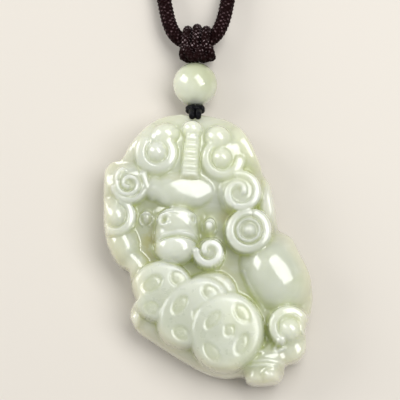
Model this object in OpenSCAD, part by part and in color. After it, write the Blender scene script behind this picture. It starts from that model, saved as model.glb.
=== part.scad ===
// Carved jade pendant of a curly-maned guardian beast on three coins, with its bead, knots and neck cord.
// It lies on its flat back: X to the right, Y towards the neck cord, Z out of the carved face.
// The origin is the middle of the flat back.

/* [Pendant] */
// Width of the carving
pendant_w = 38.2; // [30:0.1:50]
// Height of the carving
pendant_h = 49.8; // [40:0.1:64]
// Thickness that the relief is measured from, its highest coin being a little lower
pendant_t = 12.5; // [10:0.1:16]
// How far the flat back is set in from the widest outline
back_inset = 1.2; // [0.6:0.1:2]
// Height over which the back's edge is rounded
back_round = 1.6; // [1:0.1:2.4]
// Cells of the relief's mesh along each side
cells = 64; // [32:4:68]

/* [Thread] */
// Diameter of the thin thread through the bead
thread_d = 0.6; // [0.4:0.05:0.8]
// Clearance round the thread in every hole
thread_gap = 0.12; // [0.08:0.01:0.2]
// Distance between the two mouths of the carving's rim hole
mouth_spacing = 1.6; // [1.4:0.05:2]
// Depth at which the two arms of the rim hole meet
hole_depth = 2.3; // [1.9:0.1:3.2]

/* [Bead] */
// Diameter of the round bead
bead_d = 8.2; // [7:0.1:10]

/* [Knots] */
// Outer diameter of the base knot's upper wrap
base_upper_d = 3.7; // [3.3:0.1:4.4]
// Outer diameter of the base knot's lower wrap
base_lower_d = 3; // [2.8:0.1:3.2]
// Height of one wrap of the base knot
base_wrap_h = 1; // [0.8:0.05:1.2]
// Diameter of the cord that the top knot is tied from
knot_strand_d = 1.8; // [1.5:0.1:2.1]
// Number of loops that the top knot takes round the neck cord
knot_loops = 3; // [2:1:3]
// Outer diameter of the lobes under the loops
lobe_d = 6.6; // [6:0.1:7.2]
// Height of the lobes
lobe_h = 2.2; // [1.8:0.1:2.6]
// Gap between pieces that rest against each other
rest_gap = 0.1; // [0.05:0.01:0.3]

/* [Neck cord] */
// Diameter of the braided neck cord
cord_d = 2.8; // [2.4:0.1:3.2]
// Clearance between the neck cord and the loops round it
cord_gap = 0.2; // [0.1:0.05:0.3]
// Radius of the bend that the neck cord makes inside the top knot
cord_bend = 5; // [4.5:0.5:6]

/* [Hidden] */

// Widths are hundredths of pendant_w, upright places hundredths of pendant_h, heights hundredths of pendant_t
wide = pendant_w / 100;
tall = pendant_h / 100;
thick = pendant_t / 100;

// Outline, clockwise from the point where the thread enters: x, y
RIM = [
    [-6, 49.5], [-1.2, 49.5], [7.9, 48.2], [15.7, 44.7], [21, 39.2], [25.3, 31.4], [26.7, 27.3], [30.1, 23.3],
    [32.5, 15.5], [33.5, 8.1], [35, 6.4], [40.2, 3.7], [44.1, -2.2], [48.4, -9.2], [50, -17.7], [48.4, -25.1],
    [46.5, -30.3], [46.5, -36.9], [43.1, -41], [36.9, -42.9], [35.9, -46.2], [33, -49.1], [23.4, -50],
    [18.5, -49], [16.1, -46.7], [8.4, -47.1], [-1.2, -45.3], [-13.2, -40.3], [-25.3, -34.4], [-33, -30.3],
    [-36.4, -25.9], [-36.6, -22.5], [-34.2, -19.6], [-35.9, -14.8], [-37.8, -8.5], [-42.1, -6.3],
    [-46.5, -1.5], [-49.4, 5.9], [-50, 14], [-50, 22.2], [-49.4, 28.8], [-46.5, 31.8], [-41.7, 32.9],
    [-37.3, 38.8], [-31.1, 44.3], [-23.4, 48.4], [-14.2, 50], [-9.8, 49.7]
];

// Swelling forms: x, y, long half axis, short half axis, turn, foot, top, flatness,
// and for some how much lower the right side lies than the middle
MASSES = [
    [-9, 31.5, 40, 27, 0, 30, 71, 3.2],         // crown of the head
    [-14, 11, 13, 13, 0, 40, 66, 2.6],          // face under the brow
    [-11.8, 21.8, 14.8, 9, 0, 62, 79, 3.2, 5],  // forehead
    [-14.7, 5.4, 10.8, 14, 0, 50, 84, 4],       // nose and muzzle
    [-14.5, 11, 9.6, 6.6, 0, 66, 88, 3],        // nose
    [-15.1, 1.2, 10.4, 7.8, 0, 60, 91, 3],      // muzzle
    [0.9, 9, 2.7, 4, -8, 56, 72, 2],            // right eye
    [-29.1, 12, 2.4, 3.6, 0, 56, 71, 2],        // left eye
    [-7.4, 44.6, 4.8, 4.4, 0, 72, 87, 2],       // ball on the horn
    [-20, 42.6, 6.8, 5.6, 10, 64, 83, 2],       // ball left of the horn
    [4.6, 41.4, 6.2, 6, 0, 67, 85, 2],          // ball right of the horn
    [-45.3, 23.5, 6.6, 12, 0, 30, 68, 2.2],     // left ear
    [28.4, 16, 6.6, 15, 4, 30, 74, 2.2],        // right ear
    [17, 37, 10, 13, 34, 40, 76, 2.6],          // right shoulder of the mane
    [-31.5, 39, 9, 13, -38, 40, 74, 2.6],       // left shoulder of the mane
    [-40.4, 2, 9.4, 12.4, 15, 26, 69, 2.4],     // left lobe under the curls
    [-34, -6, 8, 9, 30, 26, 63, 2.4],           // foot of that lobe
    [32.6, -8.4, 19.4, 16.2, -62, 36, 87, 2.4, 7],  // thigh
    [36, -4, 15, 12.6, -60, 20, 66, 2.4],       // rump behind the thigh
    [39.4, -36.4, 10, 10, 0, 30, 68, 2.6],      // bulge over the lower right edge
    [22.8, -46.2, 7, 6.6, 0, 30, 70, 2.4],      // left toe
    [29, -45.2, 5.6, 5.2, 0, 40, 77, 2],        // right toe
    [27, -40.6, 12, 8, 14, 36, 72, 3],          // back of the paw
    [-33.4, -24.6, 3.8, 7.8, -32, 26, 62, 2.2], // hind paw
    [18.6, -6.4, 3.6, 7.8, 12, 46, 66, 2.2],    // elbow beside the thigh
    [-24.1, 35.6, 11.4, 11.4, 0, 40, 76, 4],    // disc of the upper left curl
    [6.6, 33.8, 11.4, 11.6, 0, 40, 77, 4],      // disc of the upper right curl
    [-37.3, 24, 11, 11, 0, 34, 73, 4],          // disc of the middle left curl
    [15.2, 21, 11.2, 11.4, 0, 40, 79, 4],       // disc of the middle right curl
    [-43.6, 12.2, 10.4, 11.2, 0, 30, 70, 4],    // disc of the lower left curl
    [19.1, 7.2, 11.6, 12, 0, 40, 79, 4],        // disc of the lower right curl
    [1.4, 0, 6.8, 6.6, 0, 44, 80, 4],           // disc of the lip's swirl
    [37.6, -27.2, 10.8, 11, 0, 34, 76, 4],      // disc of the curl on the leg
    [19.6, 7.4, 3, 3, 0, 72, 87, 2],            // boss inside the lower right curl
    [-43.2, 12.8, 4.8, 5.6, 0, 58, 76, 2.2],    // heart of the lower left curl
    [-24, 36.2, 4.5, 4.5, 0, 73, 87, 2],        // balls inside the open curls
    [6.8, 33.8, 4.7, 4.7, 0, 73, 88, 2],
    [38.2, -28.2, 5.2, 5.2, 0, 71, 87, 2],
    [25.4, -31.2, 3.6, 1.7, -70, 58, 75, 2],    // tufts of fur above the paw
    [28.6, -33.4, 3.2, 1.6, 35, 58, 74, 2],
    [31.4, -34, 3.4, 1.6, 70, 58, 75, 2]
];

// Locks of hair that wind round a centre: x, y, from, sweep, outer radius at both ends,
// inner radius at both ends, foot, top
LOCKS = [
    [-24.1, 35.9, 140, 272, 10.8, 9.8, 5.2, 5.2, 73, 83],   // upper left curl
    [6.8, 33.9, 112, 238, 9.8, 11.4, 5.8, 6, 74, 84],       // upper right curl
    [-37.3, 24.2, 190, 206, 8.8, 10.4, 6.2, 6.4, 69, 79],   // middle left curl
    [-37.3, 24.2, 112, 62, 9, 6.6, 6.8, 4.2, 70, 79],
    [-37.3, 24.2, 170, 440, 6.6, 2.6, 4.2, 0.2, 70, 81],
    [15, 21.3, 100, -460, 11.2, 3.5, 7, 0.2, 75, 86],       // middle right curl
    [-43.9, 12.5, 66, -236, 10.4, 9, 5.8, 5.4, 66, 76],     // lower left curl
    [19.1, 7.4, 68, -340, 11.2, 10.8, 6.7, 6.5, 75, 86],    // lower right curl
    [0.7, -0.2, 180, 366, 8.3, 4, 4.2, 0.4, 74, 89],        // lip's swirl
    [37.6, -27.2, -12, 254, 10, 9.6, 5, 5.4, 71, 83]        // curl on the leg
];
// How soon a lock nears its inner end, how flat its top is, and how far its outer part slopes down
lock_ease = 1.5;
lock_round = 5;
lock_crown = 4.5;

// Coins, the hindmost first: x, y, long half axis, short half axis, turn, top
COINS = [
    [-21.4, -15.3, 15.4, 15.2, 0, 76],
    [-2, -19.8, 18, 13.9, 42, 71],
    [-6.5, -22.7, 19.8, 15.4, 42, 81],
    [8.6, -29.7, 19.3, 18.2, 82, 86]
];

// Sunken leaves of the coins: coin, across, up, long half axis, short half axis, turn, depth, roundness
LEAVES = [
    [0, -4.6, 3.4, 6.6, 4.4, 34, 2.2, 2], [0, 7.4, 5.6, 5.2, 4, 140, 2, 2],
    [0, -4.8, -8, 4.6, 3.8, -20, 1.6, 2],
    [2, -6.6, 3.2, 6.2, 3.6, 50, 2, 2], [2, 7.6, 8.8, 5.2, 4, -30, 2, 2],
    [2, -6, -10, 5, 4, -30, 2, 2], [2, 1.6, -1.4, 3.6, 3, 55, 1.8, 1.4],
    [3, -6.4, 5.2, 6.2, 3.2, 50, 1.6, 2], [3, 7.2, 8.4, 6.2, 4, -52, 2, 2],
    [3, -6.8, -9.8, 6.2, 3.8, -52, 2, 2], [3, 7, -6, 6.6, 3.4, 62, 1.8, 2],
    [3, 1.4, 0.2, 3.8, 3.6, 45, 2, 1.4]
];

// Raised and cut lines along arcs: x, y, radius, from, to, half width, height
ARCS = [
    [61.4, 3.7, 47, 197, 221, 1.4, 4],          // crease beside the thigh
    [-14.1, -9.8, 19.4, 64, 116, 1.5, -7],      // line between nose and muzzle
    [-13.6, 0.2, 19, 62, 120, 1.4, 4],          // brow
    [25, -62, 28.6, 72, 108, 1.5, 4]            // line round the paw
];

// The horn: upper end, lower end, half widths at both, foot, top, how much lower its right side lies
horn_from = [-7.2, 41.9];
horn_to = [-8.5, 26.2];
horn_half = [3.9, 5];
horn_foot = 60;
horn_top = 83;
horn_fall = 1.5;

// The forms lean towards the lower edge by this share of their height over the level, in mm
lean = 0.158;
lean_level = 4;

// The ground that the relief stands on, and the rounding of the front edge
ground_top = 54;
ground_round = 7;
rim_top = 32;
cap_round = 10;
// Fillets between the forms, of the coins and of the locks
blend = 9;
coin_blend = 1.5;
lock_blend = 2.5;
cap_blend = 6.4;
coin_foot = 40;
coin_crown = 4.5;
coin_edge = 14;
leaf_island = 0.55;
// The rounded front edge rises to just over the highest form
cap_top = max([for (m = MASSES) m[6]]) + cap_blend / 2;

// Rim hole, bead hole and base knot hole, from the thread
thread_r = thread_d / 2;
bore_r = thread_r + thread_gap;
leg_x = thread_r + thread_gap / 2;
bead_bore_r = leg_x + bore_r;
mouth_x = mouth_spacing / 2;
hang_x = RIM[0][0] * wide;
hang_y = RIM[0][1] * tall;
string_z = bead_d / 2 + rest_gap / 2;

// Heights up the string: base knot, bead, top knot
lower_wrap_y = hang_y + rest_gap + base_wrap_h / 2;
upper_wrap_y = lower_wrap_y + base_wrap_h * 0.9;
base_bore_r = mouth_x + thread_r;
boss_d = lobe_d * 0.44;
boss_h = boss_d * 0.42;
// How far the rim of a bore through a ball lies below the ball's pole
function below_pole(ball_r, rim_r) = ball_r - sqrt(ball_r * ball_r - rim_r * rim_r);
bead_bottom = upper_wrap_y + base_wrap_h / 2 + rest_gap - below_pole(bead_d / 2, base_bore_r);
bead_y = bead_bottom + bead_d / 2;
knot_bottom = bead_y + bead_d / 2 + rest_gap - below_pole(bead_d / 2, bead_bore_r);
lobe_y = knot_bottom + boss_h / 2 + lobe_h / 2;
cord_bore_r = cord_d / 2 + cord_gap;
loop_r = cord_bore_r + knot_strand_d / 2;
knot_y = lobe_y + lobe_h / 2 + cord_bore_r * 0.6;
knot_z = max(loop_r + knot_strand_d / 2, lobe_d / 2) + rest_gap;
loop_pitch = knot_strand_d * 0.96;
knot_half_w = loop_pitch * (knot_loops - 1) / 2 + knot_strand_d / 2;
thread_top = lobe_y;

// Route of the neck cord from the knot's axis: across, up, share of the knot's height that it still has
ROUTE = [
    [0, 0, 1], [1.6, 0.26, 1], [3, 1, 1], [4.1, 2.1, 0.97], [4.9, 3.7, 0.9], [5.5, 5.6, 0.78], [5.9, 7.6, 0.66],
    [6.6, 11, 0.45], [8, 16, 0.2], [11, 22, 0.04], [17, 32, 0], [28, 47, 0], [43, 64, 0], [60, 84, 0],
    [76, 109, 0], [87, 138, 0], [90, 170, 0], [82, 201, 0], [63, 226, 0], [35, 240, 0], [2, 245, 0],
    [-31, 240, 0], [-60, 224, 0], [-80, 199, 0], [-89, 169, 0], [-86, 137, 0], [-75, 108, 0], [-59, 83, 0],
    [-43, 63, 0], [-29, 47, 0], [-18, 32, 0], [-12, 22, 0.04], [-8.2, 16, 0.2], [-6.4, 11, 0.45],
    [-5.6, 7.4, 0.66], [-5.2, 5.4, 0.78], [-4.7, 3.6, 0.9], [-4, 2.1, 0.97], [-3, 1, 1], [-1.6, 0.26, 1]
];
cord_low = cord_d / 2 + rest_gap / 2;
ring_step = 3.9;
tube_sides = 8;

// Point and direction on a smooth curve through four points in a row
function curve_at(p, t) = 0.5 * (2 * p[1] + (p[2] - p[0]) * t
    + (2 * p[0] - 5 * p[1] + 4 * p[2] - p[3]) * t * t
    + (3 * p[1] - p[0] - 3 * p[2] + p[3]) * t * t * t);
function wrap(points, i) = points[(i + len(points)) % len(points)];
function four(points, i) = [for (k = [-1:2]) wrap(points, i + k)];

// The smooth outline, spaced evenly along its length
rim_points = [for (p = RIM) [p[0] * wide, p[1] * tall]];
rim_gaps = [for (i = [0:len(RIM) - 1]) norm(wrap(rim_points, i + 1) - rim_points[i])];
function total(list, i = 0, sum = 0) = i == len(list) ? sum : total(list, i + 1, sum + list[i]);
function sums(list, i = 0, sum = 0) = i == len(list) ? [sum] : concat([sum], sums(list, i + 1, sum + list[i]));
function segment(starts, s) = len([for (start = starts) if (start <= s) 1]) - 1;
function rim_loop() = let (starts = sums(rim_gaps), count = 4 * cells, whole = starts[len(RIM)])
    [for (k = [0:count - 1]) let (s = whole * k / count, i = segment(starts, s))
        curve_at(four(rim_points, i), (s - starts[i]) / rim_gaps[i])];

function smooth_max(a, b, k) = let (gap = max(0, k - abs(a - b))) max(a, b) + gap * gap / (4 * k);
function pile(z, heights, k, i = 0) =
    i == len(heights) ? z : pile(smooth_max(z, heights[i], k), heights, k, i + 1);
function swell(q, flat) = sqrt(max(0, 1 - pow(q, flat)));
function bowl(q) = sqrt(max(0, 1 - pow(1 - min(q, 1), 2)));
function turned(p, angle) = [p[0] * cos(angle) + p[1] * sin(angle), p[1] * cos(angle) - p[0] * sin(angle)];
function smooth_step(t) = let (s = min(max(t, 0), 1)) s * s * (3 - 2 * s);
// Place from the centre of a form with this foot and top, in hundredths of the width both ways
function offset_from(p, x, y, foot, top) = let (shift = ((foot + top) / 2 * thick - lean_level) * lean)
    [p[0] / wide - x, (p[1] + shift - y * tall) / wide];

function mass_heights(p) = [
    for (m = MASSES) let (d = offset_from(p, m[0], m[1], m[5], m[6]))
        if (norm(d) < max(m[2], m[3])) let (
            q = turned(d, m[4]), r = norm([q[0] / m[2], q[1] / m[3]]), fall = len(m) > 8 ? m[8] : 0)
            if (r < 1) m[5] + (m[6] - fall * d[0] / m[2] - m[5]) * swell(r, m[7])
];

function horn_heights(p) = let (
        d = offset_from(p, horn_from[0], horn_from[1], horn_foot, horn_top),
        axis = [horn_to[0] - horn_from[0], (horn_to[1] - horn_from[1]) * tall / wide],
        along = (d * axis) / (axis * axis),
        half = horn_half[0] + (horn_half[1] - horn_half[0]) * along,
        q = abs(d[1] * axis[0] - d[0] * axis[1]) / norm(axis) / half,
        top = horn_top - horn_fall * d[0] / half
    ) q < 1 && along > 0 && along < 1 ? [horn_foot + (top - horn_foot) * swell(q, 4)] : [];

// Share of a lock's half width that a place is away from its middle line, the least over its laps and ends
function lock_share(d, b) = let (
        way = sign(b[3]), sweep = abs(b[3]),
        first = ((atan2(d[1], d[0]) - b[2]) * way + 720) % 360,
        laps = [for (lap = [0:floor(sweep / 360)]) let (t = (first + 360 * lap) / sweep)
            if (t <= 1) let (
                ease = pow(t, lock_ease),
                outer = b[4] + (b[5] - b[4]) * ease,
                inner = b[6] + (b[7] - b[6]) * ease)
                abs(2 * norm(d) - outer - inner) / (outer - inner)],
        ends = [for (end = [[b[2], b[4], b[6]], [b[2] + b[3], b[5], b[7]]])
            norm(2 * d - (end[1] + end[2]) * [cos(end[0]), sin(end[0])]) / (end[1] - end[2])]
    ) min(concat(laps, ends));

function lock_heights(p) = [
    for (b = LOCKS) let (d = offset_from(p, b[0], b[1], b[8], b[9]))
        if (norm(d) < max(b[4], b[5])) let (q = lock_share(d, b))
            if (q < 1) b[8] + (b[9] - b[8]) * swell(q, lock_round) - lock_crown * (d * d) / 100
];

function leaf_depth(d, coin) = [
    for (leaf = LEAVES) if (leaf[0] == coin) let (
        q = turned(d - [leaf[1], leaf[2]], leaf[5]),
        r = pow(pow(abs(q[0]) / leaf[3], leaf[7]) + pow(abs(q[1]) / leaf[4], leaf[7]), 1 / leaf[7]))
        leaf[6] * (smooth_step((1 - r) / 0.32) - leaf_island * smooth_step((0.66 - r) / 0.32))
];

function coin_heights(p) = [
    for (i = [0:len(COINS) - 1]) let (c = COINS[i], d = offset_from(p, c[0], c[1], coin_foot, c[5]))
        if (norm(d) < c[2]) let (
            q = turned(d, c[4]), r = norm([q[0] / c[2], q[1] / c[3]]),
            edge_drop = (c[5] - coin_foot) * (1 - swell(r, coin_edge)))
            if (r < 1) c[5] - coin_crown * r * r - edge_drop - total(leaf_depth(d, i))
];

function arc_height(d, a) = let (
        turn = (atan2(d[1], d[0]) - a[3] + 720) % 360, span = a[4] - a[3],
        near = a[3] + (turn < span ? turn : turn - span < 360 - turn ? span : 0)
    ) a[6] * pow(max(0, 1 - pow(norm(d - a[2] * [cos(near), sin(near)]) / a[5], 2)), 2);

function arc_heights(p) = [
    for (a = ARCS) let (d = offset_from(p, a[0], a[1], horn_top, horn_top))
        if (abs(norm(d) - a[2]) < a[5]) arc_height(d, a)
];

// Height of the carved face at a place, where edge is the distance to the outline
function face_height(p, edge) = let (
        ground = rim_top + (ground_top - rim_top) * bowl(edge / (ground_round * wide)),
        forms = pile(ground, concat(mass_heights(p), horn_heights(p)), blend),
        locks = pile(forms, lock_heights(p), lock_blend),
        relief = pile(locks + total(arc_heights(p)), coin_heights(p), coin_blend),
        cap = rim_top + (cap_top - rim_top) * bowl(edge / (cap_round * wide))
    ) -smooth_max(-relief, -cap, cap_blend) * thick;

// Place along the outline, as a share of it, of a cell corner on a square ring
function ring_share(a, b) = let (t = max(abs(a), abs(b), 1))
    b == t ? a / t / 8 : a == t ? 1 / 4 - b / t / 8 : b == -t ? 1 / 2 - a / t / 8 : 3 / 4 + b / t / 8;
function rim_at(loop, share) = let (s = (share + 1) % 1 * len(loop), i = floor(s))
    loop[i % len(loop)] * (1 - s + i) + wrap(loop, i + 1) * (s - i);

function face_points(loop) = [
    for (i = [-cells / 2:cells / 2], j = [-cells / 2:cells / 2]) let (
        t = max(abs(i), abs(j)) / (cells / 2), rim = rim_at(loop, ring_share(i, j)), p = rim * t)
        [p[0], p[1], face_height(p, norm(rim) * (1 - t))]
];
// Number of the face point at a step along the outline
function rim_point(k) = let (h = cells / 2, side = floor((k + h) / cells) % 4, s = (k + h) % cells,
        place = [[s, cells], [cells, cells - s], [cells - s, 0], [0, s]][side])
    place[0] * (cells + 1) + place[1];

// Rounded edge of the back: share of the inset, share of the rounding's height
BACK = [[0, 1], [0.3, 0.3], [1, 0]];
function back_points(loop) = [
    for (level = BACK, p = loop) let (q = p * (1 - level[0] * back_inset / norm(p)))
        [q[0], q[1], level[1] * back_round]
];

module carved_body() {
    loop = rim_loop();
    count = len(loop);
    first = (cells + 1) * (cells + 1);
    cell_faces = [
        for (i = [0:cells - 1], j = [0:cells - 1]) let (
            a = i * (cells + 1) + j, b = a + cells + 1, split = (i < cells / 2) == (j < cells / 2))
            each split ? [[a, a + 1, b], [b, a + 1, b + 1]] : [[a, a + 1, b + 1], [a, b + 1, b]]
    ];
    wall_faces = [
        for (k = [0:count - 1]) let (n = (k + 1) % count)
            each [[rim_point(k), first + k, first + n], [rim_point(k), first + n, rim_point(n)]]
    ];
    back_faces = [
        for (level = [0:len(BACK) - 2], k = [0:count - 1]) let (
            n = (k + 1) % count, a = first + level * count, b = a + count)
            each [[a + k, b + k, b + n], [a + k, b + n, a + n]]
    ];
    flat_face = [for (k = [count - 1:-1:0]) first + (len(BACK) - 1) * count + k];
    polyhedron(
        concat(face_points(loop), back_points(loop)),
        concat(cell_faces, wall_faces, back_faces, [flat_face]));
}

// One arm of the rim hole, from above its mouth down past the place where the arms meet
module hole_arm(side) {
    lean = atan2(side * mouth_x, hole_depth);
    translate([hang_x, hang_y - hole_depth, string_z])
        rotate([-90, 0, 0])
            rotate([0, lean, 0])
                translate([0, 0, -bore_r])
                    cylinder(r = bore_r, h = hole_depth * 2, $fn = 32);
}

module carving() {
    color([0.80, 0.85, 0.74]) difference() {
        carved_body();
        hole_arm(-1);
        hole_arm(1);
    }
}

// Turns a shape about Z into one about the string, which runs along Y
module on_string(y, z) {
    translate([hang_x, y, z]) rotate([-90, 0, 0]) children();
}

module bead() {
    color([0.76, 0.82, 0.66]) difference() {
        on_string(bead_y, string_z) sphere(d = bead_d, $fn = 96);
        on_string(bead_y, string_z) cylinder(r = bead_bore_r, h = bead_d + 1, center = true, $fn = 32);
    }
}

// Half section of a disc with a rounded rim
module wrap_profile(outer_d, height) {
    translate([0, -height / 2]) square([outer_d / 2 - height / 2, height]);
    translate([outer_d / 2 - height / 2, 0]) circle(d = height, $fn = 32);
}

module base_knot() {
    color([0.07, 0.06, 0.07]) on_string(0, string_z) rotate_extrude($fn = 48) difference() {
        union() {
            translate([0, lower_wrap_y]) wrap_profile(base_lower_d, base_wrap_h);
            translate([0, upper_wrap_y]) wrap_profile(base_upper_d, base_wrap_h);
        }
        square([2 * base_bore_r, 4 * pendant_h], center = true);
    }
}

module knot_loops_body() {
    translate([hang_x, knot_y, knot_z]) rotate([0, 90, 0]) rotate_extrude($fn = 48) {
        translate([cord_bore_r, -knot_half_w + knot_strand_d / 4])
            square([knot_strand_d / 2, 2 * knot_half_w - knot_strand_d / 2]);
        for (i = [0:knot_loops - 1])
            translate([loop_r, (i - (knot_loops - 1) / 2) * loop_pitch]) circle(d = knot_strand_d, $fn = 32);
    }
}

module top_knot() {
    color([0.16, 0.12, 0.14]) difference() {
        union() {
            knot_loops_body();
            on_string(lobe_y, knot_z) rotate_extrude($fn = 48) wrap_profile(lobe_d, lobe_h);
            on_string(knot_bottom + boss_h / 2, string_z)
                rotate_extrude($fn = 48) wrap_profile(boss_d, boss_h);
        }
        translate([hang_x, knot_y + cord_bend, knot_z]) rotate_extrude($fn = 96)
            translate([cord_bend, 0]) circle(r = cord_bore_r, $fn = 48);
        on_string(knot_bottom, string_z)
            cylinder(r = bead_bore_r, h = 2 * (thread_top + rest_gap - knot_bottom), center = true, $fn = 32);
    }
}

// Sweeps a tube along points, with its rings square to the route; the route lies nearly flat
function along_at(points, i, closed) = let (last = len(points) - 1)
    closed ? wrap(points, i + 1) - wrap(points, i - 1) : points[min(i + 1, last)] - points[max(i - 1, 0)];
function ring(points, i, r, closed) = let (
        d = along_at(points, i, closed), along = d / norm(d), s = cross(along, [0, 0, 1]), side = s / norm(s),
        up = cross(side, along))
    [for (k = [0:tube_sides - 1]) let (a = 360 * (k + 0.5) / tube_sides)
        points[i] + r * (cos(a) * side + sin(a) * up)];

module tube(points, r, closed) {
    rings = len(points);
    sides = tube_sides;
    skin = [
        for (i = [0:rings - (closed ? 1 : 2)], k = [0:sides - 1]) let (
            n = (k + 1) % sides, a = i * sides, b = (i + 1) % rings * sides)
            each [[a + k, a + n, b + n], [a + k, b + n, b + k]]
    ];
    ends = closed ? [] : [[for (k = [sides - 1:-1:0]) k], [for (k = [0:sides - 1]) (rings - 1) * sides + k]];
    polyhedron([for (i = [0:rings - 1]) each ring(points, i, r, closed)], concat(skin, ends));
}

// Half of the thread's way down and round the rim hole: across from the string's axis, up
thread_low = hang_y - hole_depth;
thread_half = [
    [leg_x, thread_top], [leg_x, bead_y + bead_d / 4],
    [leg_x, bead_y - bead_d / 4], [leg_x, bead_y - bead_d / 2],
    [leg_x + thread_gap, upper_wrap_y], [mouth_x - thread_gap, lower_wrap_y],
    [mouth_x - thread_gap / 2, hang_y],
    [mouth_x * 0.62, thread_low + hole_depth * 0.62], [mouth_x * 0.34, thread_low + hole_depth * 0.33]
];
thread_turn = [0, thread_low + hole_depth * 0.2];
thread_points = concat(
    [for (p = thread_half) [-p[0], p[1]]], [thread_turn],
    [for (i = [len(thread_half) - 1:-1:0]) thread_half[i]]);

module bead_cord() {
    color([0.07, 0.06, 0.07]) tube([for (p = thread_points) [hang_x + p[0], p[1], string_z]], thread_r, false);
}

route_points = [for (p = ROUTE) [hang_x + p[0], knot_y + p[1], cord_low + p[2] * (knot_z - cord_low)]];
cord_points = [
    for (i = [0:len(ROUTE) - 1]) let (
        gap = norm(wrap(route_points, i + 1) - route_points[i]),
        steps = max(1, round(gap / (ring_step * cord_d))))
        each [for (s = [0:steps - 1]) curve_at(four(route_points, i), s / steps)]
];

module neck_cord() {
    color([0.15, 0.11, 0.13]) tube(cord_points, cord_d / 2, true);
}

carving();
bead();
bead_cord();
base_knot();
top_knot();
neck_cord();
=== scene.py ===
"""Looks of the carved jade pendant: the stone, its bead, the knots and the braided neck cord."""

import math

import bmesh
import bpy
import numpy as np
from mathutils import Matrix, Vector


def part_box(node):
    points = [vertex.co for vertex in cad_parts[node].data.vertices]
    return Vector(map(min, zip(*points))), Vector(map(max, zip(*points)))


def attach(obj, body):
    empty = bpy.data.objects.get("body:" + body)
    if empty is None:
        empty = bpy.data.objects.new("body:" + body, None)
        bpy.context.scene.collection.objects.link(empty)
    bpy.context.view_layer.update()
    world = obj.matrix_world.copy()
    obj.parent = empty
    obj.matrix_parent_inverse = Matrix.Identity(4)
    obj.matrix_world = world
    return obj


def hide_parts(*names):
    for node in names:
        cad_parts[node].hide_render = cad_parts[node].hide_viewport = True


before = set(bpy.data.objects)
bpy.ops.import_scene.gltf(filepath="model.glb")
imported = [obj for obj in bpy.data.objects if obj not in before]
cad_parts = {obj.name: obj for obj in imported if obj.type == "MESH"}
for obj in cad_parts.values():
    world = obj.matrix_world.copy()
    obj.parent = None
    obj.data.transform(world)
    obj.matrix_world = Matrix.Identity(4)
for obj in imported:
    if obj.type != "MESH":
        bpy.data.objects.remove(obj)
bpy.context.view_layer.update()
MM = 0.001

# Camera, as the photograph looks down on the carved face
CAMERA_ELEVATION = 81
CAMERA_TARGET = (-1.4 * MM, 9.1 * MM, 4 * MM)
FRAME_WIDTH = 73.2 * MM
LENS = 150.0
SENSOR = 36.0

# Carving: hundredths of its width, height and thickness, and cells along each side of its face
carving_low, carving_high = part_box("carving")
WIDE = (carving_high[0] - carving_low[0]) / 100
TALL = (carving_high[1] - carving_low[1]) / 100
THICK = 0.125 * MM
CELLS = 296

# Curves: steps between two points of an outline or a route, and steps along a whole route
CURVE_STEPS = 32
ROUTE_STEPS = 6000

# Outline, clockwise from the point where the thread enters: x, y
RIM = [
    (-6, 49.5), (-1.2, 49.5), (7.9, 48.2), (15.7, 44.7), (21, 39.2), (25.3, 31.4), (26.7, 27.3), (30.1, 23.3),
    (32.5, 15.5), (33.5, 8.1), (35, 6.4), (40.2, 3.7), (44.1, -2.2), (48.4, -9.2), (50, -17.7), (48.4, -25.1),
    (46.5, -30.3), (46.5, -36.9), (43.1, -41), (36.9, -42.9), (35.9, -46.2), (33, -49.1), (23.4, -50),
    (18.5, -49), (16.1, -46.7), (8.4, -47.1), (-1.2, -45.3), (-13.2, -40.3), (-25.3, -34.4), (-33, -30.3),
    (-36.4, -25.9), (-36.6, -22.5), (-34.2, -19.6), (-35.9, -14.8), (-37.8, -8.5), (-42.1, -6.3),
    (-46.5, -1.5), (-49.4, 5.9), (-50, 14), (-50, 22.2), (-49.4, 28.8), (-46.5, 31.8), (-41.7, 32.9),
    (-37.3, 38.8), (-31.1, 44.3), (-23.4, 48.4), (-14.2, 50), (-9.8, 49.7),
]

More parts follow.
